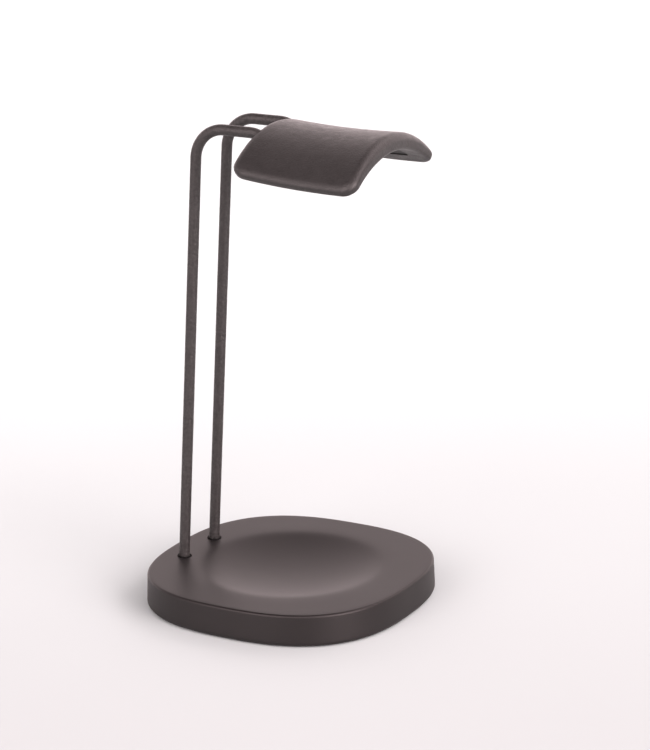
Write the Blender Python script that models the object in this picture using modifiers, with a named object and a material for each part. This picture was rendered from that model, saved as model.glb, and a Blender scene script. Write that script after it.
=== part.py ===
"""Headphone stand: a weighted base with a shallow round dish, bent steel rods and a padded saddle.

Metres, +Z up. The front is -Y, the side that the saddle points to. The origin is on the table,
under the middle of the base. "Left" is -X and "right" is +X, as seen from the front.
"""

import math

import bmesh
import bpy
from mathutils import Matrix, Vector

# Base: a rounded square, drafted on its side and rounded under
BASE_HALF = 0.0875
BASE_EXPONENT = 2.6
BASE_TOP = 0.0215
BASE_BOTTOM = 0.0010
BASE_DRAFT = 0.0006
TOP_EDGE_RADIUS = 0.0016
UNDER_RADIUS = 0.003
UNDER_TURN = math.radians(55)
SHELL_WALL = 0.0025
SCREW_BOSS_RADIUS = 0.004
PILOT_RADIUS = 0.0015
PILOT_TOP = 0.0171
OUTLINE_POINTS = 48
PLATE_POINTS = 40

# Round dish in the top of the base
DISH_RADIUS = 0.059
DISH_DEPTH = 0.0070
DISH_BLEND = 0.0010
DISH_REACH = 1.2
DISH_SHARES = (DISH_REACH, 1.06, 0.96, 0.84, 0.66, 0.42, 0.18)

# Ballast plate and bottom cover
BALLAST_BOTTOM = 0.0036
BALLAST_TOP = 0.0096
BALLAST_HALF = 0.079
BALLAST_BOSS_HOLE = 0.0046
BALLAST_SCREW_SEAT = BALLAST_BOTTOM + 0.0026
BALLAST_SCREW_HOLE = 0.0019
BALLAST_SCREW_RECESS = 0.0038
BALLAST_SCREW_REACH = 0.070
ROD_SCREW_SEAT = BALLAST_BOTTOM + 0.0032
ROD_SCREW_HOLE = 0.0023
ROD_SCREW_RECESS = 0.0047
COVER_BOTTOM = 0.0012
COVER_TOP = 0.0033
COVER_HALF = 0.0838
COVER_SCREW_SEAT = COVER_BOTTOM + 0.0011
COVER_SCREW_HOLE = 0.0018
COVER_SCREW_RECESS = 0.0034
COVER_SCREW_X = 0.062
COVER_SCREW_Y = 0.038
FOOT_RADIUS = 0.009
FOOT_HEIGHT = 0.0019
FOOT_EDGE = 0.0004
FOOT_POCKET_TOP = 0.0022
FOOT_X = 0.048
FOOT_Y = 0.063

# Rods
ROD_RADIUS = 0.0035
ROD_X = 0.019
ROD_FOOT_Y = 0.0703
ROD_LEAN = math.radians(3.9)
ROD_BEND_RADIUS = 0.021
ROD_TOP = 0.3104
ROD_LOWER_END = 0.0102
ROD_FRONT_END = -0.062
ROD_DIP_START = 0.012
ROD_DIP_END = -0.010
ROD_IN_SADDLE = 0.3047
DIP_STEPS = 8
ROD_THREAD_RADIUS = 0.0020
ROD_THREAD_DEPTH = 0.010
ROD_MOUTH_RADIUS = 0.0048
ROD_BOSS_RADIUS = 0.0073
BUSH_HEIGHT = 0.0120
BUSH_EDGE = 0.0002

# Saddle: an arch whose edges are well rounded, dipped a little in the middle of its length
SADDLE_CROWN = 0.3145
SADDLE_OUTER = 0.0792
SADDLE_THICKNESS = 0.0111
SADDLE_DIP = 0.0016
SADDLE_TILT = math.radians(1.27)
SADDLE_FLARE = 0.03
SADDLE_MID_Y = -0.0361
SADDLE_HALF_LENGTH = 0.0435
SADDLE_HALF_TURN = math.radians(45)
SADDLE_TAPER = 0.4
SADDLE_CORNER = 0.0090
LEAST_CORNER = 0.0015
SADDLE_UPPER_EDGE = 0.0058
SADDLE_LOWER_EDGE = 0.0025

# Core plate in the saddle's underside, with its edge held in a groove of the pad
CORE_LOW = 0.0011
CORE_HIGH = 0.0033
CORE_INSET = 0.0100
OPENING_INSET = 0.0130
OPENING_REACH = 0.003
SOCKET_RADIUS = 0.0046
SOCKET_REAR = -0.0070
SOCKET_FRONT = -0.0655
SET_SCREW_REACH = 0.018
SET_SCREW_RADIUS = 0.0017
SET_SCREW_LENGTH = 0.0028
SET_SCREW_EDGE = 0.0005
SET_SCREW_DRIVE = 0.0011
SET_SCREW_BOSS_RADIUS = 0.0032
SET_SCREW_BOSS_REACH = 0.0026
SET_SCREW_HOLE = 0.0020

# Pan-head screws: head radius, head height, shank radius, length, radius of the hexagon socket
COVER_SCREW = (0.0030, 0.0008, 0.0012, 0.010, 0.0013)
BALLAST_SCREW = (0.0033, 0.0018, 0.0012, 0.010, 0.0014)
ROD_SCREW = (0.0036, 0.0015, 0.0017, 0.012, 0.0015)
HEAD_EDGE_SHARE = 0.3
SOCKET_DEPTH_SHARE = 0.55

# Washer under each rod screw
WASHER_OUTER = 0.0043
WASHER_INNER = 0.0021
WASHER_THICKNESS = 0.0008

GAP = 0.0003
CLEAR = 0.0004
HEAD_CLEAR = 0.0001
THROUGH = 0.03
MERGE = 0.00001

# name: (red, green, blue), roughness, metallic
FINISHES = {
    "soft_touch": ((0.030, 0.027, 0.028), 0.45, 0.0),
    "powder_coat": ((0.028, 0.025, 0.025), 0.50, 0.0),
    "foam_skin": ((0.036, 0.032, 0.032), 0.60, 0.0),
    "black_nylon": ((0.020, 0.020, 0.021), 0.55, 0.0),
    "black_rubber": ((0.015, 0.015, 0.015), 0.80, 0.0),
    "ballast_steel": ((0.300, 0.300, 0.310), 0.45, 1.0),
    "zinc_screw": ((0.560, 0.560, 0.580), 0.30, 1.0),
}


def clear_scene():
    for found in list(bpy.data.objects):
        bpy.data.objects.remove(found)


def make_collection(name):
    made = bpy.data.collections.new(name)
    bpy.context.scene.collection.children.link(made)
    return made


def make_material(name, colour, roughness, metallic):
    made = bpy.data.materials.new(name)
    made.use_nodes = True
    shader = made.node_tree.nodes["Principled BSDF"]
    shader.inputs["Base Color"].default_value = (*colour, 1.0)
    shader.inputs["Roughness"].default_value = roughness
    shader.inputs["Metallic"].default_value = metallic
    return made


def add_object(name, mesh, finish):
    """A part with its finish, or a cutter where finish is None."""
    made = bpy.data.objects.new(name, mesh)
    if finish is None:
        cutters.objects.link(made)
        made.hide_render = True
        made.display_type = "WIRE"
        return made
    stand.objects.link(made)
    mesh.materials.append(materials[finish])
    mesh.shade_smooth()
    mesh.set_sharp_from_angle(angle=math.radians(35))
    return made


def boolean(target, other, operation="DIFFERENCE", solver="EXACT"):
    modifier = target.modifiers.new(other.name, "BOOLEAN")
    modifier.operation = operation
    modifier.object = other
    modifier.solver = solver


def superellipse(half, exponent, count=OUTLINE_POINTS):
    """Points (x, y) of |x|^exponent + |y|^exponent = half^exponent, anticlockwise."""
    points = []
    for step in range(count):
        turn = math.tau * step / count
        x, y = math.cos(turn), math.sin(turn)
        reach = (abs(x) ** exponent + abs(y) ** exponent) ** (-1 / exponent)
        points.append((half * x * reach, half * y * reach))
    return points


def cylinder(name, radius, low, high, finish=None, segments=24, bevel=0.0):
    """A cylinder on Z between two heights."""
    mesh = bpy.data.meshes.new(name)
    bm = bmesh.new()
    bmesh.ops.create_cone(
        bm,
        cap_ends=True,
        segments=segments,
        radius1=radius,
        radius2=radius,
        depth=high - low,
        matrix=Matrix.Translation((0, 0, (low + high) / 2)),
    )
    bm.to_mesh(mesh)
    bm.free()
    made = add_object(name, mesh, finish)
    if bevel:
        edge = made.modifiers.new("edge", "BEVEL")
        edge.width = bevel
        edge.segments = 1
        edge.limit_method = "ANGLE"
    return made


def turned(name, profile, finish, segments=20, closed=False):
    """A turned shape from a profile of (radius, height), which runs down its outer side."""
    mesh = bpy.data.meshes.new(name)
    edges = [(i, i + 1) for i in range(len(profile) - 1)]
    if closed:
        edges.append((len(profile) - 1, 0))
    mesh.from_pydata([(r, 0, z) for r, z in profile], edges, [])
    made = add_object(name, mesh, finish)
    screw = made.modifiers.new("turn", "SCREW")
    screw.axis = "Z"
    screw.steps = segments
    screw.render_steps = segments
    screw.use_merge_vertices = True
    screw.merge_threshold = MERGE
    return made


def plate(name, outline, low, high, finish):
    """A flat plate with this outline, from a filled and extruded curve."""
    curve = bpy.data.curves.new(name, "CURVE")
    curve.dimensions = "2D"
    curve.fill_mode = "BOTH"
    curve.extrude = (high - low) / 2
    spline = curve.splines.new("POLY")
    spline.points.add(len(outline) - 1)
    for point, (x, y) in zip(spline.points, outline):
        point.co = (x, y, 0, 1)
    spline.use_cyclic_u = True
    drawn = bpy.data.objects.new(name + "_curve", curve)
    drawn.location.z = (low + high) / 2
    return as_mesh(name, drawn, finish)


def as_mesh(name, drawn, finish):
    """Turns a curve object into a mesh object with its caps welded, and removes the curve."""
    bpy.context.scene.collection.objects.link(drawn)
    bpy.context.view_layer.update()
    graph = bpy.context.evaluated_depsgraph_get()
    mesh = bpy.data.meshes.new_from_object(drawn.evaluated_get(graph))
    place = drawn.matrix_world.copy()
    bpy.data.objects.remove(drawn)
    bm = bmesh.new()
    bm.from_mesh(mesh)
    bmesh.ops.remove_doubles(bm, verts=bm.verts, dist=MERGE)
    bmesh.ops.recalc_face_normals(bm, faces=bm.faces)
    bm.to_mesh(mesh)
    bm.free()
    mesh.materials.clear()
    made = add_object(name, mesh, finish)
    made.matrix_world = place
    return made


def pipe(name, path, radius, finish, resolution=5):
    """A round bar along a path of points."""
    curve = bpy.data.curves.new(name, "CURVE")
    curve.dimensions = "3D"
    curve.bevel_depth = radius
    curve.bevel_resolution = resolution
    curve.use_fill_caps = True
    spline = curve.splines.new("POLY")
    spline.points.add(len(path) - 1)
    for point, place in zip(spline.points, path):
        point.co = (*place, 1)
    return as_mesh(name, bpy.data.objects.new(name + "_curve", curve), finish)


def screw_part(name, sizes):
    """A pan-head screw pointing up, its head's bearing face at z = 0, with a hexagon socket."""
    head, head_height, shank, length, drive = sizes
    tip = shank * 0.5
    edge = head_height * HEAD_EDGE_SHARE
    profile = [
        (0, length),
        (tip, length),
        (shank, length - tip),
        (shank, 0),
        (head, 0),
        (head, -head_height + edge),
        (head - edge, -head_height),
        (0, -head_height),
    ]
    made = turned(name, profile, "zinc_screw", segments=12)
    socket_top = -head_height * (1 - SOCKET_DEPTH_SHARE)
    socket = cylinder(name + "_socket", drive, -head_height * 2, socket_top, segments=6)
    socket.parent = made
    boolean(made, socket)
    return made


def shell_rings():
    """The outside of the base as rings of points, from the open bottom edge to the dish's centre."""
    sections = []
    arc_steps = 3
    under_z = BASE_BOTTOM + UNDER_RADIUS * math.sin(UNDER_TURN)
    for step in range(arc_steps + 1):
        turn = -UNDER_TURN * (1 - step / arc_steps)
        offset = BASE_DRAFT - UNDER_RADIUS * (1 - math.cos(turn))
        sections.append((offset, under_z + UNDER_RADIUS * math.sin(turn)))
    for step in range(arc_steps):
        turn = math.pi / 2 * step / (arc_steps - 1)
        offset = TOP_EDGE_RADIUS * (math.cos(turn) - 1)
        height = BASE_TOP + TOP_EDGE_RADIUS * (math.sin(turn) - 1)
        sections.append((offset, height))
    rings = []
    for offset, height in sections:
        outline = superellipse(BASE_HALF + offset, BASE_EXPONENT)
        rings.append([(x, y, height) for x, y in outline])
    for share in DISH_SHARES:
        outline = superellipse(DISH_RADIUS * share, 2)
        height = BASE_TOP - dish_drop(share)
        rings.append([(x, y, height) for x, y in outline])
    return rings


def dish_drop(share):
    """Depth of the dish below the rim, at this share of the way from its centre to its edge."""
    if share >= DISH_REACH:
        return 0.0
    bowl = DISH_DEPTH * (1 - share * share)
    return (bowl + math.hypot(bowl, DISH_BLEND)) / 2


def loft(name, rings, finish, closed=False):
    """A surface through rings of points, filled at the last ring, and at the first if closed."""
    bm = bmesh.new()
    loops = []
    for ring in rings:
        verts = [bm.verts.new(point) for point in ring]
        loops.append([bm.edges.new(pair) for pair in zip(verts, verts[1:] + verts[:1])])
    for lower, upper in zip(loops, loops[1:]):
        bmesh.ops.bridge_loops(bm, edges=lower + upper)
    bmesh.ops.contextual_create(bm, geom=loops[-1])
    if closed:
        bmesh.ops.contextual_create(bm, geom=loops[0])
        bmesh.ops.triangulate(bm, faces=bm.faces)
    bmesh.ops.recalc_face_normals(bm, faces=bm.faces)
    mesh = bpy.data.meshes.new(name)
    bm.to_mesh(mesh)
    bm.free()
    return add_object(name, mesh, finish)


def along_rod(side, height):
    """The point on a rod's straight leg at this height, left (-1) or right (1)."""
    return Vector(
        (side * ROD_X, ROD_FOOT_Y + (BASE_TOP - height) * math.tan(ROD_LEAN), height)
    )


def lean_with_rod(made, side, height):
    """Places an object modelled on Z so that its z = 0 is on the rod's axis at this height."""
    made.location = along_rod(side, height)
    made.rotation_euler = (ROD_LEAN, 0, 0)


def rod_path(side):
    """A rod's centre line: leg, bend, level run, dip and the straight end inside the saddle."""
    points = [along_rod(side, ROD_LOWER_END)]
    centre_z = ROD_TOP - ROD_BEND_RADIUS
    start = along_rod(side, centre_z + ROD_BEND_RADIUS * math.sin(ROD_LEAN))
    centre_y = start.y - ROD_BEND_RADIUS * math.cos(ROD_LEAN)
    bend_steps = 10
    for step in range(bend_steps + 1):
        turn = ROD_LEAN + (math.pi / 2 - ROD_LEAN) * step / bend_steps
        y = centre_y + ROD_BEND_RADIUS * math.cos(turn)
        z = centre_z + ROD_BEND_RADIUS * math.sin(turn)
        points.append(Vector((side * ROD_X, y, z)))
    for step in range(DIP_STEPS + 1):
        share = step / DIP_STEPS
        ease = share * share * (3 - 2 * share)
        y = ROD_DIP_START + (ROD_DIP_END - ROD_DIP_START) * share
        z = ROD_TOP + (ROD_IN_SADDLE - ROD_TOP) * ease
        points.append(Vector((side * ROD_X, y, z)))
    points.append(Vector((side * ROD_X, ROD_FRONT_END, ROD_IN_SADDLE)))
    return points


def on_arch(x, y, height):
    """Bends a flat point onto the saddle, which thins towards its ends.

    x is measured round the outer surface, y from the saddle's middle towards the rear, and the
    height from the inner surface outwards, as at the crown.
    """
    share = y / SADDLE_HALF_LENGTH
    turn = x / SADDLE_OUTER * (1 - SADDLE_FLARE * share)
    thinning = 1 - SADDLE_TAPER * (x / (SADDLE_OUTER * SADDLE_HALF_TURN)) ** 2
    radius = SADDLE_OUTER - (SADDLE_THICKNESS - height) * thinning
    dip = SADDLE_DIP * (1 - share * share)
    centre_z = SADDLE_CROWN - SADDLE_OUTER - dip + y * math.tan(SADDLE_TILT)
    return (
        radius * math.sin(turn),
        SADDLE_MID_Y + y,
        centre_z + radius * math.cos(turn),
    )


def rounded_outline(half_x, half_y, radius, sides=(10, 5), corner_steps=3):
    """Points (x, y) round a rectangle with round corners, anticlockwise from the right side."""
    x, y = half_x - radius, half_y - radius
    points = []
    for index, (cx, cy) in enumerate(((x, y), (-x, y), (-x, -y), (x, -y))):
        for step in range(corner_steps + 1):
            turn = math.pi / 2 * (index + step / corner_steps)
            points.append((cx + radius * math.cos(turn), cy + radius * math.sin(turn)))
        next_x, next_y = ((-x, y), (-x, -y), (x, -y), (x, y))[index]
        turn = math.pi / 2 * (index + 1)
        steps = sides[index % 2]
        for step in range(1, steps):
            share = step / steps
            side_x = cx + (next_x - cx) * share + radius * math.cos(turn)
            side_y = cy + (next_y - cy) * share + radius * math.sin(turn)
            points.append((side_x, side_y))
    return points


def arch_ring(inset, height, share=1.0):
    """A ring on the saddle: its outline, pulled in by the inset and then scaled by the share."""
    half_x = SADDLE_OUTER * SADDLE_HALF_TURN - inset
    half_y = SADDLE_HALF_LENGTH - inset
    corner = max(SADDLE_CORNER - inset, LEAST_CORNER)
    outline = rounded_outline(half_x, half_y, corner)
    return [on_arch(x * share, y * share, height) for x, y in outline]


def arch_body(name, low, high, inset, finish, low_edge=0.0, high_edge=0.0, steps=3):
    """A layer of the saddle between two heights, with its lower and upper edges rounded."""
    shares = (0.08, 0.30, 0.54, 0.78)
    rings = [arch_ring(inset + low_edge, low, share) for share in shares]
    for radius, centre, start in (
        (low_edge, low + low_edge, -math.pi / 2),
        (high_edge, high - high_edge, 0),
    ):
        for step in range(steps + 1 if radius else 1):
            turn = start + math.pi / 2 * step / steps
            pull = inset + radius * (1 - math.cos(turn))
            rings.append(arch_ring(pull, centre + radius * math.sin(turn)))
    rings += [arch_ring(inset + high_edge, high, share) for share in shares[::-1]]
    return loft(name, rings, finish, closed=True)


def build_base():
    shell = loft("base_shell", shell_rings(), "soft_touch")
    wall = shell.modifiers.new("wall", "SOLIDIFY")
    wall.thickness = SHELL_WALL
    wall.offset = -1
    wall.use_even_offset = True
    boss_top = BASE_TOP - SHELL_WALL / 2
    for side, label in ((-1, "left"), (1, "right")):
        boss = cylinder(
            "rod_boss_" + label, ROD_BOSS_RADIUS, BALLAST_TOP + GAP, boss_top
        )
        foot = along_rod(side, (BALLAST_TOP + BASE_TOP) / 2)
        boss.location = (foot.x, foot.y, 0)
        boolean(shell, boss, "UNION")
    for x, y in cover_screw_places():
        boss = cylinder("cover_boss", SCREW_BOSS_RADIUS, COVER_TOP + GAP, boss_top, segments=16)
        boss.location = (x, y, 0)
        boolean(shell, boss, "UNION")
    for x, y in ballast_screw_places().values():
        low = BALLAST_TOP + GAP
        boss = cylinder("ballast_boss", SCREW_BOSS_RADIUS, low, boss_top, segments=16)
        boss.location = (x, y, 0)
        boolean(shell, boss, "UNION")
    for side, label in ((-1, "left"), (1, "right")):
        mouth = cylinder("rod_mouth_" + label, ROD_MOUTH_RADIUS, -THROUGH, THROUGH)
        lean_with_rod(mouth, side, BASE_TOP)
        boolean(shell, mouth)
    for x, y in (*cover_screw_places(), *ballast_screw_places().values()):
        pilot = cylinder("pilot", PILOT_RADIUS, 0, PILOT_TOP, segments=12)
        pilot.location = (x, y, 0)
        boolean(shell, pilot)


def cover_screw_places():
    return [
        (x * COVER_SCREW_X, y * COVER_SCREW_Y)
        for x, y in ((-1, -1), (1, -1), (1, 1), (-1, 1))
    ]


def ballast_screw_places():
    reach = BALLAST_SCREW_REACH
    return {"left": (-reach, 0), "right": (reach, 0), "front": (0, -reach)}


def build_ballast():
    outline = superellipse(BALLAST_HALF, BASE_EXPONENT, PLATE_POINTS)
    ballast = plate("ballast_plate", outline, BALLAST_BOTTOM, BALLAST_TOP, "ballast_steel")
    for x, y in cover_screw_places():
        hole = cylinder("ballast_boss_hole", BALLAST_BOSS_HOLE, 0, THROUGH, segments=16)
        hole.location = (x, y, 0)
        boolean(ballast, hole)
    seat = BALLAST_SCREW_SEAT
    for label, (x, y) in ballast_screw_places().items():
        hole = cylinder("ballast_screw_hole", BALLAST_SCREW_HOLE, 0, THROUGH, segments=16)
        recess = cylinder("ballast_screw_recess", BALLAST_SCREW_RECESS, 0, seat, segments=20)
        for cutter in (hole, recess):
            cutter.location = (x, y, 0)
            boolean(ballast, cutter)
        screw = screw_part("ballast_screw_" + label, BALLAST_SCREW)
        screw.location = (x, y, seat - GAP)
    seat = ROD_SCREW_SEAT
    for side, label in ((-1, "left"), (1, "right")):
        hole = cylinder("rod_screw_hole", ROD_SCREW_HOLE, -THROUGH, THROUGH, segments=16)
        recess = cylinder("rod_screw_recess", ROD_SCREW_RECESS, -THROUGH, 0, segments=20)
        for cutter in (hole, recess):
            lean_with_rod(cutter, side, seat)
            boolean(ballast, cutter)
        profile = [
            (WASHER_OUTER, 0),
            (WASHER_OUTER, -WASHER_THICKNESS),
            (WASHER_INNER, -WASHER_THICKNESS),
            (WASHER_INNER, 0),
        ]
        washer = turned("rod_washer_" + label, profile, "zinc_screw", closed=True)
        lean_with_rod(washer, side, seat - GAP)
        screw = screw_part("rod_screw_" + label, ROD_SCREW)
        lean_with_rod(screw, side, seat - 2 * GAP - WASHER_THICKNESS)


def build_cover():
    outline = superellipse(COVER_HALF, BASE_EXPONENT, PLATE_POINTS)
    cover = plate("base_cover", outline, COVER_BOTTOM, COVER_TOP, "black_nylon")
    places = {
        "front_left": (-1, -1),
        "front_right": (1, -1),
        "rear_right": (1, 1),
        "rear_left": (-1, 1),
    }
    for label, (side, end) in places.items():
        pocket = cylinder("foot_pocket", FOOT_RADIUS + CLEAR, 0, FOOT_POCKET_TOP)
        pocket.location = (side * FOOT_X, end * FOOT_Y, 0)
        boolean(cover, pocket)
        foot = cylinder(
            "foot_" + label, FOOT_RADIUS, 0, FOOT_HEIGHT, "black_rubber", bevel=FOOT_EDGE
        )
        foot.location = pocket.location
    seat = COVER_SCREW_SEAT
    for label, (side, end) in places.items():
        place = (side * COVER_SCREW_X, end * COVER_SCREW_Y, 0)
        hole = cylinder("cover_screw_hole", COVER_SCREW_HOLE, 0, THROUGH, segments=16)
        recess = cylinder("cover_screw_recess", COVER_SCREW_RECESS, 0, seat, segments=20)
        for cutter in (hole, recess):
            cutter.location = place
            boolean(cover, cutter)
        screw = screw_part("cover_screw_" + label, COVER_SCREW)
        screw.location = (place[0], place[1], seat - HEAD_CLEAR)


def build_rods():
    for side, label in ((-1, "left"), (1, "right")):
        rod = pipe("stem_rod_" + label, rod_path(side), ROD_RADIUS, "powder_coat")
        thread = cylinder(
            "rod_thread_" + label, ROD_THREAD_RADIUS, -THROUGH, ROD_THREAD_DEPTH, segments=12
        )
        lean_with_rod(thread, side, ROD_LOWER_END)
        boolean(rod, thread)
        inner = ROD_RADIUS + GAP
        outer = ROD_MOUTH_RADIUS - GAP
        profile = [
            (outer - BUSH_EDGE, BUSH_HEIGHT),
            (outer, BUSH_HEIGHT - BUSH_EDGE),
            (outer, 0),
            (inner, 0),
            (inner, BUSH_HEIGHT),
        ]
        bush = turned("rod_bush_" + label, profile, "black_nylon", closed=True)
        lean_with_rod(bush, side, BALLAST_TOP + 2 * GAP)


def build_saddle():
    pad = arch_body(
        "saddle_pad",
        0,
        SADDLE_THICKNESS,
        0,
        "foam_skin",
        SADDLE_LOWER_EDGE,
        SADDLE_UPPER_EDGE,
    )
    groove = arch_body("core_groove", CORE_LOW - GAP, CORE_HIGH + GAP, CORE_INSET - GAP, None)
    opening = arch_body("core_opening", -OPENING_REACH, CORE_LOW + GAP, OPENING_INSET, None)
    boolean(pad, groove, solver="MANIFOLD")
    boolean(pad, opening, solver="MANIFOLD")
    core = arch_body("saddle_core", CORE_LOW, CORE_HIGH, CORE_INSET, "black_nylon")
    sides = {"left": -1, "right": 1}
    places = [
        (f"{place}_{label}", side, SADDLE_MID_Y + end * SET_SCREW_REACH)
        for label, side in sides.items()
        for place, end in (("front", -1), ("rear", 1))
    ]
    for label, side in sides.items():
        tube = straight_bar(
            "socket_" + label, side, SOCKET_REAR, SOCKET_FRONT, SOCKET_RADIUS
        )
        boolean(core, tube, "UNION", "MANIFOLD")
    for label, side, y in places:
        boss = cylinder(
            "set_screw_boss_" + label,
            SET_SCREW_BOSS_RADIUS,
            -SET_SCREW_BOSS_REACH,
            CORE_HIGH - CORE_LOW,
            segments=16,
        )
        boss.location = under_rod(side, y)
        boolean(core, boss, "UNION", "MANIFOLD")
    for label, side in sides.items():
        room = straight_bar(
            "socket_room_" + label,
            side,
            SOCKET_REAR + CLEAR,
            SOCKET_FRONT - CLEAR,
            SOCKET_RADIUS + GAP,
        )
        path = rod_path(side)[-DIP_STEPS - 2 :]
        path[-1].y -= CLEAR
        bore = pipe("rod_bore_" + label, path, ROD_RADIUS + GAP, None)
        boolean(core, bore, solver="MANIFOLD")
        boolean(pad, room, solver="MANIFOLD")
        boolean(pad, bore, solver="MANIFOLD")
    for label, side, y in places:
        thread = cylinder("set_screw_thread_" + label, SET_SCREW_HOLE, -THROUGH, ROD_RADIUS, segments=16)
        thread.location = under_rod(side, y)
        boolean(core, thread, solver="MANIFOLD")
        build_set_screw(label, under_rod(side, y))


def straight_bar(name, side, rear, front, radius):
    path = [(side * ROD_X, y, ROD_IN_SADDLE) for y in (rear, front)]
    return pipe(name, path, radius, None)


def under_rod(side, y):
    """The point just below a rod, inside the saddle."""
    return side * ROD_X, y, ROD_IN_SADDLE - ROD_RADIUS - GAP


def build_set_screw(label, place):
    """A grub screw that locks the rod in its socket from below."""
    profile = [
        (0, 0),
        (SET_SCREW_RADIUS - SET_SCREW_EDGE, 0),
        (SET_SCREW_RADIUS, -SET_SCREW_EDGE),
        (SET_SCREW_RADIUS, -SET_SCREW_LENGTH),
        (0, -SET_SCREW_LENGTH),
    ]
    screw = turned("set_screw_" + label, profile, "zinc_screw", segments=16)
    screw.location = place
    low, high = -2 * SET_SCREW_LENGTH, -SET_SCREW_LENGTH / 2
    socket = cylinder("set_screw_socket_" + label, SET_SCREW_DRIVE, low, high, segments=6)
    socket.parent = screw
    boolean(screw, socket)


clear_scene()
stand = make_collection("headphone_stand")
cutters = make_collection("cutters")
materials = {name: make_material(name, *look) for name, look in FINISHES.items()}
build_base()
build_ballast()
build_cover()
build_rods()
build_saddle()
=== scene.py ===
"""Looks of the headphone stand: fine meshes in the CAD part's frame, materials, light and camera.

Metres, +Z up, the front is -Y, and the left is -X as seen from the front.
"""

import math

import bmesh
import bpy
from mathutils import Matrix, Vector


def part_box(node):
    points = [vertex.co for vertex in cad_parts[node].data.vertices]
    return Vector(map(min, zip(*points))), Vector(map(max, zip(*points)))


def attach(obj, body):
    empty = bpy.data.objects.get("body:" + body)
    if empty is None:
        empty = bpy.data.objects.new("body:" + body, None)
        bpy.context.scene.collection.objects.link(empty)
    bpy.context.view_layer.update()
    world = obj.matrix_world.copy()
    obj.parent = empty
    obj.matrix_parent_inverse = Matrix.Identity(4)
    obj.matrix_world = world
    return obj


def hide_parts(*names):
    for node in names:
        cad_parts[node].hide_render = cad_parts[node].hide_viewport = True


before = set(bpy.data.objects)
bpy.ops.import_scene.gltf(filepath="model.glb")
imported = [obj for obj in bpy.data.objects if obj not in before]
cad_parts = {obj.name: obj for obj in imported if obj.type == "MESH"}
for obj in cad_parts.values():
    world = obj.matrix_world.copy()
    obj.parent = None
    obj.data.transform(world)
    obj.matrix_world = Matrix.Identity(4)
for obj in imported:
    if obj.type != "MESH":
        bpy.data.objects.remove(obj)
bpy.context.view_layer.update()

shell_low, shell_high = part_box("base_shell")
cover_low, cover_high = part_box("base_cover")

# Base
BASE_DRAFT = 0.0006
BASE_HALF = (shell_high.x - shell_low.x) / 2 - BASE_DRAFT
BASE_EXPONENT = 2.6
BASE_TOP = shell_high.z
BASE_BOTTOM = shell_low.z
TOP_EDGE_RADIUS = 0.0016
UNDER_RADIUS = 0.003
UNDER_TURN = math.radians(55)
SHELL_WALL = 0.0025
BASE_POINTS = 288
# The base's hollow, as (offset from the outline, height from the top)
HOLLOW = ((-0.0050, -0.0026), (-0.0036, -0.0032), (-0.0028, -0.0044), (-0.0023, -0.0150))
# The lip round the hollow's mouth, as (offset from the outline, height from the underside)
LIP = ((-0.0021, 0.0020), (-0.0020, 0.0006), (-0.0017, 0.0001), (-0.0013, 0.0))
DISH_RADIUS = 0.059
DISH_DEPTH = 0.0070
DISH_BLEND = 0.0010
DISH_REACH = 1.2

# Rods
ROD_RADIUS = 0.0035
ROD_X = 0.019
ROD_FOOT_Y = 0.0703
ROD_LEAN = math.radians(3.9)
ROD_BEND_RADIUS = 0.021
ROD_TOP = 0.3104
ROD_LOWER_END = 0.0102
ROD_FRONT_END = -0.062
ROD_DIP_START = 0.012
ROD_DIP_END = -0.010
ROD_DIP_STEPS = 24
ROD_IN_SADDLE = 0.3047
MOUTH_RADIUS = 0.0048
MOUTH_EDGE = 0.0004
BOSS_RADIUS = 0.0073
BUSH_HEIGHT = 0.0120
BUSH_EDGE = 0.0003
BALLAST_TOP = 0.0096
ROD_EDGE = 0.0004
ROD_THREAD_RADIUS = 0.0020
ROD_THREAD_DEPTH = 0.010

# Saddle
SADDLE_CROWN = 0.3145
SADDLE_OUTER = 0.0792
SADDLE_THICKNESS = 0.0111
SADDLE_DIP = 0.0016
SADDLE_TILT = math.radians(1.27)
SADDLE_FLARE = 0.03
SADDLE_MID_Y = -0.0361
SADDLE_HALF_LENGTH = 0.0435
SADDLE_HALF_TURN = math.radians(45)
SADDLE_TAPER = 0.4
SADDLE_CORNER = 0.0090
LEAST_CORNER = 0.0015
SADDLE_UPPER_EDGE = 0.0058
SADDLE_LOWER_EDGE = 0.0025
CORE_LOW = 0.0011
CORE_HIGH = 0.0033
CORE_INSET = 0.0100
CORE_EDGE = 0.0004
OPENING_INSET = 0.0130
OPENING_EDGE = 0.0006
SOCKET_RADIUS = 0.0046
SOCKET_REAR = -0.0070
SOCKET_FRONT = -0.0655
SET_SCREW_REACH = 0.018
SET_BOSS_RADIUS = 0.0032
SET_BOSS_EDGE = 0.0006
SET_BOSS_LOW = -0.0026
SET_BOSS_HIGH = 0.0015
SET_THREAD = ((0.0020, -0.008), (0.0020, 0.001))

# Cover, feet and screws
COVER_EDGE = 0.0003
FOOT_LOWER_EDGE = 0.0005
FOOT_UPPER_EDGE = 0.0003
SCREW_SEAT = 0.0011
SCREW_HOLE_RADIUS = 0.0018
SCREW_RECESS_RADIUS = 0.0034
SCREW_HEAD_CLEAR = 0.0001
SCREW_HEAD_EDGE = 0.0001
SCREW_CROWN = 0.55
SCREW_SHANK_RADIUS = 0.0012
SCREW_TIP = ((0.0001, 0.0), (0.0006, -0.0002), (0.0012, -0.0008))
SCREW_SOCKET_RADIUS = 0.0013
SCREW_SOCKET_START = 0.45

GAP = 0.0003
CLEAR = 0.0004
THROUGH = 0.03
SIDES = {"left": -1, "right": 1}
CORNERS = ("front_left", "front_right", "rear_left", "rear_right")

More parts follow.
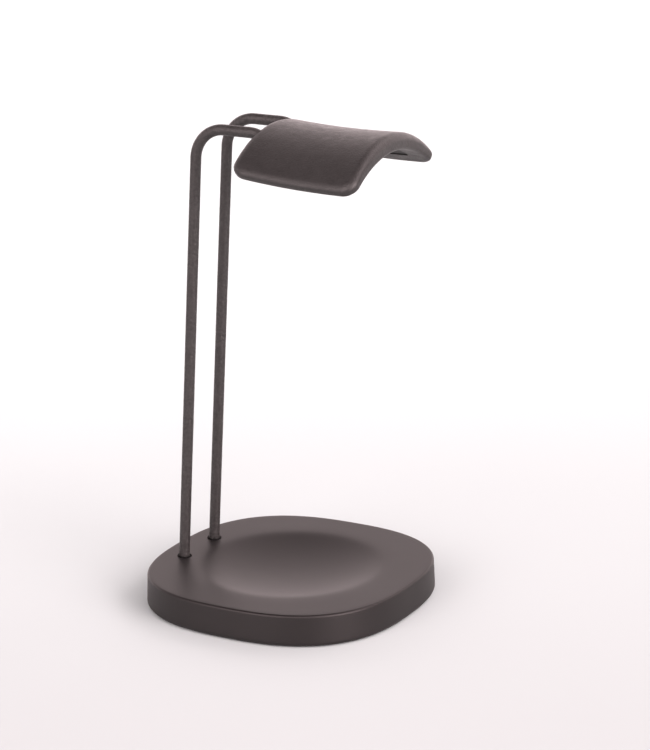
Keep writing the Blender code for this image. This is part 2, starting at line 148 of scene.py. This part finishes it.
# Camera
AIM = Vector((0.0124, -0.0207, 0.1492))
CAMERA_AZIMUTH = -60.79
CAMERA_ELEVATION = 16.85
CAMERA_ROLL = -1.0
CAMERA_REACH = 1.7685
CAMERA_LENS = 132.6
CAMERA_SENSOR = 36.0

# Brightness of the walls at these elevations, by their turn from the camera's side
WALL_STEPS = (0, 10, 25, 42, 60, 90)
WALLS = (
    (180, (3.05, 1.65, 1.15, 0.45, 0.05, 0.02)),
    (0, (0.20, 0.50, 1.70, 2.70, 0.40, 0.02)),
    (90, (0.30, 0.20, 0.55, 2.50, 0.40, 0.02)),
    (-90, (0.30, 0.60, 0.30, 0.02, 0.02, 0.02)),
)
WALL_PEAK = 3.5
WALL_SPREAD = (-0.1, 1.0)
# Softboxes: (turn from the camera's side, brightness over WALL_PEAK), and where they fade
SOFTBOXES = ((45, 2.4), (-45, 1.1))
SOFTBOX_ELEVATION = 14
SOFTBOX_EDGES = (24, 12)
STUDIO_TINT = (1.13, 0.95, 0.955)
# The floor's colours in front of the stand and behind it, and where one fades into the other:
# painted shade, darker in front and lighter behind, standing in for light that falls off across the
# floor
FLOOR_PAINTED_SHADE_NEAR = (0.585, 0.645, 0.65, 1.0)
FLOOR_PAINTED_SHADE_FAR = (0.75, 0.865, 0.87, 1.0)
FLOOR_PAINTED_SHADE_FADE = (-0.45, 1.0)
# The colour of the floor in the light that it throws back
FLOOR_BOUNCE = (0.54, 0.58, 0.58, 1.0)
FLOOR_HALF = 30.0
BACKDROP_COLOUR = (0.98, 0.95, 0.95, 1.0)


# ---------------------------------------------------------------- meshes


def piece(name, mesh, material, nodes=(), sharp=35):
    """A shown piece that stands for some CAD nodes, or a cutter where there is no material."""
    made = bpy.data.objects.new(name, mesh)
    bpy.context.scene.collection.objects.link(made)
    if material is None:
        return made
    mesh.materials.clear()
    mesh.materials.append(material)
    mesh.shade_smooth()
    mesh.set_sharp_from_angle(angle=math.radians(sharp))
    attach(made, "root")
    if nodes:
        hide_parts(*nodes)
    return made


def ring_mesh(name, rings, closed=True):
    """A mesh through rings of points, with a fan at each end, or with its ends joined."""
    bm = bmesh.new()
    loops = [[bm.verts.new(point) for point in ring] for ring in rings]
    count = len(rings[0])
    pairs = list(zip(loops, loops[1:]))
    if not closed:
        pairs.append((loops[-1], loops[0]))
    for lower, upper in pairs:
        for i in range(count):
            j = (i + 1) % count
            bm.faces.new((lower[i], lower[j], upper[j], upper[i]))
    if closed:
        for loop in (loops[0], loops[-1]):
            middle = sum((v.co for v in loop), Vector()) / count
            hub = bm.verts.new(middle)
            for i in range(count):
                bm.faces.new((loop[i], loop[(i + 1) % count], hub))
    bmesh.ops.recalc_face_normals(bm, faces=bm.faces)
    mesh = bpy.data.meshes.new(name)
    bm.to_mesh(mesh)
    bm.free()
    return mesh


def turned_mesh(name, profile, place=(0, 0, 0), lean=0.0, segments=64, closed=True):
    """A turned mesh from (radius, height) points, leaning back and placed. Radii are above 0."""
    where = Matrix.Translation(place) @ Matrix.Rotation(lean, 4, "X")
    rings = []
    for radius, height in profile:
        ring = []
        for step in range(segments):
            turn = math.tau * step / segments
            ring.append(where @ Vector((radius * math.cos(turn), radius * math.sin(turn), height)))
        rings.append(ring)
    return ring_mesh(name, rings, closed)


def arc(centre_r, centre_z, radius, start, end, steps):
    """Points (r, z) on an arc between two angles in degrees."""
    points = []
    for step in range(steps + 1):
        turn = math.radians(start + (end - start) * step / steps)
        points.append((centre_r + radius * math.cos(turn), centre_z + radius * math.sin(turn)))
    return points


def superellipse(half, exponent):
    """A rounded square with these half sides, or a circle where the exponent is 2."""
    points = []
    for step in range(BASE_POINTS):
        turn = math.tau * step / BASE_POINTS
        x, y = math.cos(turn), math.sin(turn)
        reach = half * (abs(x) ** exponent + abs(y) ** exponent) ** (-1 / exponent)
        points.append(Vector((x * reach, y * reach)))
    return points


def flat_ring(half, exponent, height):
    """A superellipse at one height."""
    return [Vector((p.x, p.y, height)) for p in superellipse(half, exponent)]


def cut(mesh, steps, name):
    """The mesh after adding ("UNION") and cutting ("DIFFERENCE") other meshes, in order."""
    base = bpy.data.objects.new(name + "_work", mesh)
    bpy.context.scene.collection.objects.link(base)
    tools = []
    for operation, other in steps:
        tool = piece(name + "_tool", other, None)
        tools.append(tool)
        modifier = base.modifiers.new("step", "BOOLEAN")
        modifier.operation = operation
        modifier.solver = "MANIFOLD"
        modifier.object = tool
    bpy.context.view_layer.update()
    graph = bpy.context.evaluated_depsgraph_get()
    made = bpy.data.meshes.new_from_object(base.evaluated_get(graph))
    made.name = name
    for used in (base, *tools):
        bpy.data.objects.remove(used)
    return made


def along_rod(side, height):
    """The point at this height on the axis of a rod's leg."""
    y = ROD_FOOT_Y + (BASE_TOP - height) * math.tan(ROD_LEAN)
    return Vector((side * ROD_X, y, height))


def rod_path(side, bend_steps=36, leg_steps=12):
    """A rod's centre line: leg, bend, level run, dip and the end inside the saddle."""
    centre_z = ROD_TOP - ROD_BEND_RADIUS
    start = along_rod(side, centre_z + ROD_BEND_RADIUS * math.sin(ROD_LEAN))
    centre_y = start.y - ROD_BEND_RADIUS * math.cos(ROD_LEAN)
    foot = along_rod(side, ROD_LOWER_END)
    points = [foot.lerp(start, step / leg_steps) for step in range(leg_steps)]
    for step in range(bend_steps + 1):
        turn = ROD_LEAN + (math.pi / 2 - ROD_LEAN) * step / bend_steps
        y = centre_y + ROD_BEND_RADIUS * math.cos(turn)
        z = centre_z + ROD_BEND_RADIUS * math.sin(turn)
        points.append(Vector((side * ROD_X, y, z)))
    for step in range(ROD_DIP_STEPS + 1):
        share = step / ROD_DIP_STEPS
        ease = share * share * (3 - 2 * share)
        y = ROD_DIP_START + (ROD_DIP_END - ROD_DIP_START) * share
        z = ROD_TOP + (ROD_IN_SADDLE - ROD_TOP) * ease
        points.append(Vector((side * ROD_X, y, z)))
    points.append(Vector((side * ROD_X, ROD_FRONT_END, ROD_IN_SADDLE)))
    return points


def tube_mesh(name, path, radius, segments=40, edge=0.0):
    """A round bar along a path in a plane of constant x, with its end edges broken."""
    rings = []
    last = len(path) - 1
    for index, point in enumerate(path):
        ahead = path[min(index + 1, last)] - path[max(index - 1, 0)]
        ahead.normalize()
        side = Vector((1, 0, 0))
        up = ahead.cross(side)
        ring = []
        for step in range(segments):
            turn = math.tau * step / segments
            ring.append(point + (side * math.cos(turn) + up * math.sin(turn)) * radius)
        if edge and index in (0, last):
            outward = ahead if index else -ahead
            inner = [point + (p - point) * (1 - edge / radius) for p in ring]
            ring = [p - outward * edge for p in ring]
            rings += [ring, inner] if index else [inner, ring]
        else:
            rings.append(ring)
    return ring_mesh(name, rings)


def dish_drop(share):
    """How far the dish lies below the rim, at a share of its radius."""
    bowl = DISH_DEPTH * (1 - share * share)
    return (bowl + math.hypot(bowl, DISH_BLEND)) / 2


def base_rings(side_steps=8, rim_steps=6, dish_steps=44):
    """The base's skin: the hollow's ceiling and wall, the lip, the outside, the rim and the dish."""
    rings = []
    for share in (0.1, 0.3, 0.5, 0.7, 0.85, 1.0, 1.1):
        height = BASE_TOP - SHELL_WALL - dish_drop(share)
        rings.append(flat_ring(DISH_RADIUS * share, 2, height))
    profile = [(offset, BASE_TOP + height) for offset, height in HOLLOW]
    profile += [(offset, BASE_BOTTOM + height) for offset, height in LIP]
    under_z = BASE_BOTTOM + UNDER_RADIUS * math.sin(UNDER_TURN)
    turn = -math.degrees(UNDER_TURN)
    profile += arc(BASE_DRAFT - UNDER_RADIUS, under_z, UNDER_RADIUS, turn, 0, 12)
    side_top = BASE_TOP - TOP_EDGE_RADIUS
    for step in range(1, side_steps):
        share = step / side_steps
        profile.append((BASE_DRAFT * (1 - share), under_z + (side_top - under_z) * share))
    profile += arc(-TOP_EDGE_RADIUS, side_top, TOP_EDGE_RADIUS, 0, 90, 10)
    rings += [flat_ring(BASE_HALF + offset, BASE_EXPONENT, height) for offset, height in profile]
    outer = flat_ring(BASE_HALF - TOP_EDGE_RADIUS, BASE_EXPONENT, BASE_TOP)
    inner = flat_ring(DISH_RADIUS * DISH_REACH, 2, BASE_TOP - dish_drop(DISH_REACH))
    for step in range(1, rim_steps):
        share = step / rim_steps
        rings.append([a.lerp(b, share) for a, b in zip(outer, inner)])
    for step in range(dish_steps):
        share = DISH_REACH * (1 - step / dish_steps)
        rings.append(flat_ring(DISH_RADIUS * share, 2, BASE_TOP - dish_drop(share)))
    return rings


def build_base(material):
    skin = ring_mesh("base_body", base_rings())
    steps = []
    for side in SIDES.values():
        foot = along_rod(side, (BALLAST_TOP + BASE_TOP) / 2)
        low, high = BALLAST_TOP + GAP, BASE_TOP - SHELL_WALL / 2
        boss = [(BOSS_RADIUS, low), (BOSS_RADIUS, high)]
        steps.append(("UNION", turned_mesh("boss", boss, (foot.x, foot.y, 0))))
    for side in SIDES.values():
        foot = along_rod(side, BASE_TOP)
        flare = arc(MOUTH_RADIUS + MOUTH_EDGE, -MOUTH_EDGE, MOUTH_EDGE, 180, 100, 5)
        mouth = [(MOUTH_RADIUS, -THROUGH), *flare, (MOUTH_RADIUS + MOUTH_EDGE, THROUGH)]
        steps.append(("DIFFERENCE", turned_mesh("mouth", mouth, foot, ROD_LEAN)))
    mesh = cut(skin, steps, "base_body")
    piece("base_body", mesh, material, ["base_shell"], sharp=40)


def on_arch(x, y, height):
    """Bends a flat point onto the saddle, which thins towards its ends.

    x is measured round the outer surface, y from the saddle's middle towards the rear, and the
    height from the inner surface outwards, as at the crown.
    """
    share = y / SADDLE_HALF_LENGTH
    turn = x / SADDLE_OUTER * (1 - SADDLE_FLARE * share)
    thinning = 1 - SADDLE_TAPER * (x / (SADDLE_OUTER * SADDLE_HALF_TURN)) ** 2
    radius = SADDLE_OUTER - (SADDLE_THICKNESS - height) * thinning
    dip = SADDLE_DIP * (1 - share * share)
    centre_z = SADDLE_CROWN - SADDLE_OUTER - dip + y * math.tan(SADDLE_TILT)
    return Vector((radius * math.sin(turn), SADDLE_MID_Y + y, centre_z + radius * math.cos(turn)))


def rounded_outline(half_x, half_y, radius, sides, corner_steps):
    """Points round a rectangle with round corners, anticlockwise from the right side."""
    x, y = half_x - radius, half_y - radius
    centres = ((x, y), (-x, y), (-x, -y), (x, -y))
    points = []
    for index, centre in enumerate(centres):
        centre = Vector(centre)
        following = Vector(centres[(index + 1) % 4])
        for step in range(corner_steps + 1):
            turn = math.pi / 2 * (index + step / corner_steps)
            points.append(centre + Vector((math.cos(turn), math.sin(turn))) * radius)
        turn = math.pi / 2 * (index + 1)
        reach = Vector((math.cos(turn), math.sin(turn))) * radius
        steps = sides[index % 2]
        for step in range(1, steps):
            points.append(centre.lerp(following, step / steps) + reach)
    return points


def arch_ring(inset, height, share=1.0, sides=(64, 44), corner_steps=10):
    """A ring on the saddle: its outline, pulled in by the inset and then scaled by the share."""
    half_x = SADDLE_OUTER * SADDLE_HALF_TURN - inset
    half_y = SADDLE_HALF_LENGTH - inset
    corner = max(SADDLE_CORNER - inset, LEAST_CORNER)
    outline = rounded_outline(half_x, half_y, corner, sides, corner_steps)
    return [on_arch(p.x * share, p.y * share, height) for p in outline]


def arch_rings(profile, shares):
    """Rings of a closed body from (inset, height) points, with both ends drawn in to the middle."""
    first, last = profile[0], profile[-1]
    rings = [arch_ring(*first, share) for share in shares]
    rings += [arch_ring(*point) for point in profile]
    rings += [arch_ring(*last, share) for share in reversed(shares)]
    return rings


def under_rod(side, y):
    """The place of a set screw's tip, just below the rod."""
    return Vector((side * ROD_X, y, ROD_IN_SADDLE - ROD_RADIUS - GAP))


def straight(side, rear, front):
    """The ends of a straight stretch of a rod's axis inside the saddle."""
    return [Vector((side * ROD_X, y, ROD_IN_SADDLE)) for y in (rear, front)]


def rod_bores():
    """The room that the rods need where they enter the saddle."""
    bores = []
    for side in SIDES.values():
        path = rod_path(side)[-ROD_DIP_STEPS - 2 :]
        path[-1].y -= CLEAR
        bores.append(("DIFFERENCE", tube_mesh("bore", path, ROD_RADIUS + GAP)))
    return bores


def build_pad(material, flat_steps=5):
    """The pad: from the groove for the core, out through its opening and round to the crown."""
    profile = [
        (CORE_INSET - GAP, CORE_HIGH + GAP),
        (CORE_INSET - GAP, CORE_LOW - GAP),
        (OPENING_INSET, CORE_LOW - GAP),
    ]
    profile += arc(OPENING_INSET - OPENING_EDGE, OPENING_EDGE, OPENING_EDGE, 0, -90, 4)
    inset = OPENING_INSET - OPENING_EDGE
    for step in range(1, flat_steps):
        profile.append((inset + (SADDLE_LOWER_EDGE - inset) * step / flat_steps, 0))
    profile += arc(SADDLE_LOWER_EDGE, SADDLE_LOWER_EDGE, SADDLE_LOWER_EDGE, 270, 180, 10)
    centre = SADDLE_THICKNESS - SADDLE_UPPER_EDGE
    profile += arc(SADDLE_UPPER_EDGE, centre, SADDLE_UPPER_EDGE, 180, 90, 12)
    shares = [0.03, 0.1, 0.2, 0.3, 0.4, 0.5, 0.6, 0.7, 0.8, 0.9, 0.96]
    skin = ring_mesh("pad_skin", arch_rings(profile, shares))
    steps = []
    for side in SIDES.values():
        path = straight(side, SOCKET_REAR + CLEAR, SOCKET_FRONT - CLEAR)
        steps.append(("DIFFERENCE", tube_mesh("room", path, SOCKET_RADIUS + GAP)))
    mesh = cut(skin, steps + rod_bores(), "pad_skin")
    piece("pad_skin", mesh, material, ["saddle_pad"], sharp=40)


def build_core(material):
    inset = CORE_INSET + CORE_EDGE
    profile = arc(inset, CORE_LOW + CORE_EDGE, CORE_EDGE, 270, 180, 3)
    profile += arc(inset, CORE_HIGH - CORE_EDGE, CORE_EDGE, 180, 90, 3)
    shares = [0.05, 0.2, 0.4, 0.6, 0.8]
    skin = ring_mesh("core_plate", arch_rings(profile, shares))
    steps = []
    for side in SIDES.values():
        tube = tube_mesh("socket", straight(side, SOCKET_REAR, SOCKET_FRONT), SOCKET_RADIUS)
        steps.append(("UNION", tube))
    places = [
        under_rod(side, SADDLE_MID_Y + end * SET_SCREW_REACH)
        for side in SIDES.values()
        for end in (-1, 1)
    ]
    boss = [
        (SET_BOSS_RADIUS - SET_BOSS_EDGE, SET_BOSS_LOW),
        (SET_BOSS_RADIUS, SET_BOSS_LOW + SET_BOSS_EDGE),
        (SET_BOSS_RADIUS, SET_BOSS_HIGH),
    ]
    steps += [("UNION", turned_mesh("boss", boss, place)) for place in places]
    steps += rod_bores()
    steps += [("DIFFERENCE", turned_mesh("thread", SET_THREAD, place)) for place in places]
    mesh = cut(skin, steps, "core_plate")
    piece("core_plate", mesh, material, ["saddle_core"])


def build_rods(material, bush_material):
    for label, side in SIDES.items():
        bar = tube_mesh("rod_bar", rod_path(side), ROD_RADIUS, 56, ROD_EDGE)
        foot = along_rod(side, ROD_LOWER_END)
        thread = [(ROD_THREAD_RADIUS, -THROUGH), (ROD_THREAD_RADIUS, ROD_THREAD_DEPTH)]
        tool = turned_mesh("thread", thread, foot, ROD_LEAN)
        mesh = cut(bar, [("DIFFERENCE", tool)], "rod_bar")
        node = "stem_rod_" + label
        piece("rod_bar_" + label, mesh, material, [node])
        inner, outer = ROD_RADIUS + GAP, MOUTH_RADIUS - GAP
        crown = arc(outer - BUSH_EDGE, BUSH_HEIGHT - BUSH_EDGE, BUSH_EDGE, 0, 90, 4)
        crown += arc(inner + BUSH_EDGE, BUSH_HEIGHT - BUSH_EDGE, BUSH_EDGE, 90, 180, 4)
        profile = [(outer, 0), *crown, (inner, 0)]
        place = along_rod(side, BALLAST_TOP + 2 * GAP)
        ring = turned_mesh("rod_collar", profile, place, ROD_LEAN, closed=False)
        node = "rod_bush_" + label
        piece("rod_collar_" + label, ring, bush_material, [node])


def build_underside(cover_material, foot_material, screw_material):
    half = (cover_high.x - cover_low.x) / 2
    shares = (0.1, 0.4, 0.7, 0.9)
    profile = [(half * share, cover_low.z) for share in shares]
    profile += [(half - COVER_EDGE, cover_low.z), (half, cover_low.z + COVER_EDGE)]
    profile += [(half, cover_high.z - COVER_EDGE), (half - COVER_EDGE, cover_high.z)]
    profile += [(half * share, cover_high.z) for share in reversed(shares)]
    rings = [flat_ring(reach, BASE_EXPONENT, height) for reach, height in profile]
    seat = cover_low.z + SCREW_SEAT
    hole = [(SCREW_HOLE_RADIUS, -THROUGH), (SCREW_HOLE_RADIUS, THROUGH)]
    recess = [(SCREW_RECESS_RADIUS, -THROUGH), (SCREW_RECESS_RADIUS, seat)]
    steps = []
    for label in CORNERS:
        low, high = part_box("foot_" + label)
        place = ((low.x + high.x) / 2, (low.y + high.y) / 2, 0)
        radius = (high.x - low.x) / 2
        pocket = [(radius + CLEAR, -THROUGH), (radius + CLEAR, high.z + GAP)]
        steps.append(("DIFFERENCE", turned_mesh("pocket", pocket, place, segments=96)))
        lower, upper = FOOT_LOWER_EDGE, FOOT_UPPER_EDGE
        profile = arc(radius - lower, lower, lower, 270, 360, 5)
        profile += arc(radius - upper, high.z - upper, upper, 0, 90, 3)
        mesh = turned_mesh("foot_pad", profile, place, segments=96)
        piece("foot_pad_" + label, mesh, foot_material, ["foot_" + label])
        node = "cover_screw_" + label
        low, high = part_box(node)
        place = Vector(((low.x + high.x) / 2, (low.y + high.y) / 2, 0))
        for cutter in (hole, recess):
            steps.append(("DIFFERENCE", turned_mesh("hole", cutter, place)))
        place.z = seat - SCREW_HEAD_CLEAR
        build_screw(node, place, low, high, screw_material)
    mesh = cut(ring_mesh("bottom_cover", rings), steps, "bottom_cover")
    piece("bottom_cover", mesh, cover_material, ["base_cover"])


def build_screw(node, place, low, high, material, crown_steps=5):
    """A pan-head screw that points up, with a hexagon socket."""
    head = (high.x - low.x) / 2
    head_height = place.z - low.z
    length = high.z - place.z
    profile = [(radius, length + height) for radius, height in SCREW_TIP]
    profile += [(SCREW_SHANK_RADIUS, 0), (head - SCREW_HEAD_EDGE, 0), (head, -SCREW_HEAD_EDGE)]
    crown = head_height * SCREW_CROWN
    for step in range(crown_steps + 1):
        turn = math.pi / 2 * step / crown_steps
        radius = head - crown * (1 - math.cos(turn))
        profile.append((radius, -head_height + crown - crown * math.sin(turn)))
    mesh = turned_mesh(node, profile, place)
    start = -head_height * SCREW_SOCKET_START
    socket = [(SCREW_SOCKET_RADIUS, -head_height * 2), (SCREW_SOCKET_RADIUS, start)]
    tool = turned_mesh("socket", socket, place, segments=6)
    mesh = cut(mesh, [("DIFFERENCE", tool)], node)
    piece(node + "_fine", mesh, material, [node], sharp=30)


# ---------------------------------------------------------------- materials

# Where noise counts as 0 and as 1, and the bevelled normal's dot product on a full edge
CLOUD_RANGE = (0.3, 0.7)
GRAIN_RANGE = (0.35, 0.75)
EDGE_DOT = 0.85


class Nodes:
    """A small helper that adds linked shader nodes."""

    def __init__(self, owner, shader="Principled BSDF"):
        owner.use_nodes = True
        self.tree = owner.node_tree
        self.shader = self.tree.nodes[shader]

    def add(self, kind, values=(), **settings):
        node = self.tree.nodes.new(kind)
        for key, value in settings.items():
            setattr(node, key, value)
        for key, value in dict(values).items():
            self.put(node.inputs[key], value)
        return node

    def put(self, socket, value):
        if isinstance(value, bpy.types.NodeSocket):
            self.tree.links.new(value, socket)
        else:
            socket.default_value = value

    def place(self):
        """The point in the piece's own frame, in metres."""
        return self.add("ShaderNodeTexCoord").outputs["Object"]

    def noise(self, vector, size, detail=2.0, roughness=0.5):
        """Noise with features of about this size."""
        values = {"Vector": vector, "Scale": 1 / size, "Detail": detail, "Roughness": roughness}
        return self.add("ShaderNodeTexNoise", values).outputs["Fac"]

    def ramp(self, value, low, high, to_low=0.0, to_high=1.0, **settings):
        """The value taken from one range to another and clamped there."""
        values = {"Value": value, "From Min": low, "From Max": high}
        values.update({"To Min": to_low, "To Max": to_high})
        return self.add("ShaderNodeMapRange", values, **settings).outputs["Result"]

    def vector(self, operation, first, second, output="Vector", scale=None):
        node = self.add("ShaderNodeVectorMath", operation=operation)
        self.put(node.inputs[0], first)
        if scale is None:
            self.put(node.inputs[1], second)
        else:
            self.put(node.inputs["Scale"], scale)
        return node.outputs[output]

    def mix(self, factor, first, second):
        """The first colour where the factor is 0, the second where it is 1."""
        node = self.add("ShaderNodeMix", data_type="RGBA")
        self.put(node.inputs[0], factor)
        self.put(node.inputs[6], first)
        self.put(node.inputs[7], second)
        return node.outputs[2]

    def math(self, operation, first, second=0.0):
        node = self.add("ShaderNodeMath", operation=operation)
        self.put(node.inputs[0], first)
        self.put(node.inputs[1], second)
        return node.outputs[0]

    def edges(self, radius):
        """1 on convex and concave edges, 0 on flat faces."""
        bevel = self.add("ShaderNodeBevel", {"Radius": radius}, samples=4).outputs["Normal"]
        normal = self.add("ShaderNodeNewGeometry").outputs["Normal"]
        dot = self.add("ShaderNodeVectorMath", operation="DOT_PRODUCT")
        self.put(dot.inputs[0], bevel)
        self.put(dot.inputs[1], normal)
        return self.ramp(dot.outputs["Value"], 1.0, EDGE_DOT)

    def bump(self, height, distance, strength=1.0, below=None):
        values = {"Height": height, "Distance": distance, "Strength": strength}
        if below is not None:
            values["Normal"] = below
        return self.add("ShaderNodeBump", values).outputs["Normal"]


def tone(colour, factor):
    """The colour, lighter or darker by a factor."""
    return (*(channel * factor for channel in colour), 1.0)


def surface(
    name,
    colour,
    roughness,
    spread=0.12,
    patch=0.03,
    rough_spread=0.05,
    grain=0.0004,
    grain_height=0.00002,
    speck=0.12,
    wave=0.02,
    wave_height=0.0,
    wear_and_highlight=1.3,
    wear_and_highlight_radius=0.0008,
    metallic=0.0,
    sheen=0.0,
    specular=0.5,
    gloss_tint=(1.0, 1.0, 1.0),
    stretch=(1, 1, 1),
):
    """A moulded, coated or metal finish: clouded colour and gloss, grain, soft waves, and edges made
    lighter, partly as wear and partly as a painted highlight.
    """
    material = bpy.data.materials.new(name)
    nodes = Nodes(material)
    place = nodes.place()
    cloud = nodes.noise(place, patch, 3.0, 0.55)
    streaks = nodes.add("ShaderNodeVectorMath", {0: place, 1: stretch}, operation="MULTIPLY")
    fine = nodes.noise(streaks.outputs[0], grain, 2.0, 0.6)
    cloud = nodes.ramp(cloud, *CLOUD_RANGE)
    shade = nodes.mix(cloud, tone(colour, 1 - spread), tone(colour, 1 + spread))
    shade = nodes.mix(nodes.ramp(fine, *GRAIN_RANGE), shade, tone(colour, 1 + speck))
    # Edges made lighter: partly wear, partly a painted edge highlight, on concave edges as well as
    # convex ones
    shade = nodes.mix(nodes.edges(wear_and_highlight_radius), shade, tone(colour, wear_and_highlight))
    nodes.put(nodes.shader.inputs["Base Color"], shade)
    smudge = nodes.noise(place, patch * 0.6, 4.0, 0.65)
    low, high = roughness - rough_spread, roughness + rough_spread
    gloss = nodes.ramp(smudge, *CLOUD_RANGE, low, high)
    nodes.put(nodes.shader.inputs["Roughness"], gloss)
    normal = nodes.bump(fine, grain_height)
    if wave_height:
        normal = nodes.bump(nodes.noise(place, wave, 2.0), wave_height, below=normal)
    nodes.put(nodes.shader.inputs["Normal"], normal)
    nodes.put(nodes.shader.inputs["Metallic"], metallic)
    nodes.put(nodes.shader.inputs["Specular IOR Level"], specular)
    nodes.put(nodes.shader.inputs["Specular Tint"], (*gloss_tint, 1.0))
    if sheen:
        nodes.put(nodes.shader.inputs["Sheen Weight"], sheen)
        nodes.put(nodes.shader.inputs["Sheen Roughness"], 0.5)
    return material


def make_finishes():
    return {
        "soft_touch": surface(
            "soft_touch",
            (0.0046, 0.0037, 0.0038),
            0.47,
            spread=0.10,
            patch=0.12,
            rough_spread=0.012,
            grain=0.00035,
            grain_height=0.000012,
            gloss_tint=(1.0, 0.95, 0.95),
        ),
        "powder_coat": surface(
            "powder_coat",
            (0.0200, 0.0186, 0.0183),
            0.42,
            patch=0.006,
            spread=0.25,
            rough_spread=0.09,
            grain=0.0016,
            grain_height=0.00050,
            speck=0.9,
        ),
        "pad_skin": surface(
            "pad_skin",
            (0.0165, 0.0153, 0.0152),
            0.42,
            patch=0.008,
            spread=0.18,
            rough_spread=0.07,
            grain=0.0010,
            grain_height=0.00022,
            speck=0.6,
            wave=0.018,
            wave_height=0.0004,
            sheen=0.05,
        ),
        "grommet": surface(
            "grommet", (0.0022, 0.0020, 0.0020), 0.60, grain=0.0003, specular=0.15
        ),
        "nylon": surface("nylon", (0.0160, 0.0155, 0.0160), 0.55, grain=0.0003),
        "rubber": surface("rubber", (0.0130, 0.0130, 0.0130), 0.75, wear_and_highlight=1.6),
        "ballast": surface(
            "ballast", (0.36, 0.35, 0.34), 0.42, metallic=1.0, grain=0.002, stretch=(1, 12, 12)
        ),
        "zinc": surface(
            "zinc", (0.60, 0.60, 0.62), 0.30, metallic=1.0, patch=0.004, grain=0.0003
        ),
    }


# ---------------------------------------------------------------- studio


def build_floor():
    bm = bmesh.new()
    bmesh.ops.create_grid(bm, x_segments=8, y_segments=8, size=FLOOR_HALF)
    mesh = bpy.data.meshes.new("floor")
    bm.to_mesh(mesh)
    bm.free()
    floor = bpy.data.objects.new("floor", mesh)
    bpy.context.scene.collection.objects.link(floor)
    material = bpy.data.materials.new("floor")
    nodes = Nodes(material)
    # Painted shade: the floor that the camera sees is darker in front of the stand and lighter
    # behind it
    spot = nodes.add("ShaderNodeNewGeometry").outputs["Position"]
    away = nodes.vector("DOT_PRODUCT", spot, direction(CAMERA_AZIMUTH + 180, 0), "Value")
    fade = nodes.ramp(away, *FLOOR_PAINTED_SHADE_FADE, interpolation_type="SMOOTHSTEP")
    colour = nodes.mix(fade, FLOOR_PAINTED_SHADE_NEAR, FLOOR_PAINTED_SHADE_FAR)
    seen = nodes.add("ShaderNodeLightPath").outputs["Is Camera Ray"]
    nodes.put(nodes.shader.inputs["Base Color"], nodes.mix(seen, FLOOR_BOUNCE, colour))
    nodes.put(nodes.shader.inputs["Roughness"], 0.9)
    nodes.put(nodes.shader.inputs["Specular IOR Level"], 0.1)
    mesh.materials.append(material)


def direction(azimuth, elevation):
    """Azimuth 0 is in front of the stand, 90 to its right."""
    a, e = math.radians(azimuth), math.radians(elevation)
    return Vector((math.sin(a) * math.cos(e), -math.cos(a) * math.cos(e), math.sin(e)))


def build_world():
    """Pale studio walls, each with its own brightness by elevation, under a dark ceiling."""
    world = bpy.data.worlds.new("studio")
    bpy.context.scene.world = world
    world.use_nodes = True
    nodes = Nodes(world, "Background")
    view = nodes.add("ShaderNodeTexCoord").outputs["Generated"]
    height = nodes.add("ShaderNodeSeparateXYZ", {"Vector": view})
    quarter = nodes.math("DIVIDE", nodes.math("ARCSINE", height.outputs["Z"]), math.pi / 2)
    flat = nodes.vector("MULTIPLY", view, (1, 1, 0))
    flat = nodes.add("ShaderNodeVectorMath", {0: flat}, operation="NORMALIZE").outputs[0]
    total = 0.0
    for turn, levels in WALLS:
        ramp = nodes.add("ShaderNodeValToRGB", {"Fac": quarter})
        stops = ramp.color_ramp.elements
        while len(stops) < len(levels):
            stops.new(0.5)
        for stop, elevation, level in zip(stops, WALL_STEPS, levels):
            stop.position = elevation / 90
            stop.color = (level / WALL_PEAK,) * 3 + (1,)
        ramp.color_ramp.interpolation = "EASE"
        facing = nodes.vector("DOT_PRODUCT", flat, direction(CAMERA_AZIMUTH + turn, 0), "Value")
        facing = nodes.ramp(facing, *WALL_SPREAD, interpolation_type="SMOOTHSTEP")
        wall = nodes.math("MULTIPLY", facing, ramp.outputs["Color"])
        total = nodes.math("ADD", wall, total)
    for turn, level in SOFTBOXES:
        middle = direction(CAMERA_AZIMUTH + turn, SOFTBOX_ELEVATION)
        facing = nodes.vector("DOT_PRODUCT", view, middle, "Value")
        low, high = (math.cos(math.radians(reach)) for reach in SOFTBOX_EDGES)
        glow = nodes.ramp(facing, low, high, 0.0, level, interpolation_type="SMOOTHSTEP")
        total = nodes.math("ADD", glow, total)
    seen = nodes.add("ShaderNodeLightPath").outputs["Is Camera Ray"]
    strength = nodes.math("MULTIPLY", total, WALL_PEAK)
    lit = nodes.vector("SCALE", STUDIO_TINT, None, scale=strength)
    nodes.put(nodes.shader.inputs["Color"], nodes.mix(seen, lit, BACKDROP_COLOUR))


def build_camera():
    camera = bpy.data.objects.new("camera", bpy.data.cameras.new("camera"))
    bpy.context.scene.collection.objects.link(camera)
    camera.data.lens = CAMERA_LENS
    camera.data.sensor_width = CAMERA_SENSOR
    back = direction(CAMERA_AZIMUTH, CAMERA_ELEVATION)
    turn = back.to_track_quat("Z", "Y").to_matrix().to_4x4()
    roll = Matrix.Rotation(math.radians(CAMERA_ROLL), 4, "Z")
    camera.matrix_world = Matrix.Translation(AIM + back * CAMERA_REACH) @ turn @ roll
    bpy.context.scene.camera = camera


finishes = make_finishes()
build_base(finishes["soft_touch"])
build_rods(finishes["powder_coat"], finishes["grommet"])
build_pad(finishes["pad_skin"])
build_core(finishes["nylon"])
build_underside(finishes["nylon"], finishes["rubber"], finishes["zinc"])
# The CAD nodes that stay on show are the ballast plate and the zinc-plated screws and washers
for node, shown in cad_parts.items():
    if shown.hide_render:
        continue
    finish = finishes["ballast" if node == "ballast_plate" else "zinc"]
    for material_slot in shown.material_slots:
        material_slot.material = finish

build_floor()
build_world()
build_camera()
bpy.context.scene.view_settings.view_transform = "Standard"
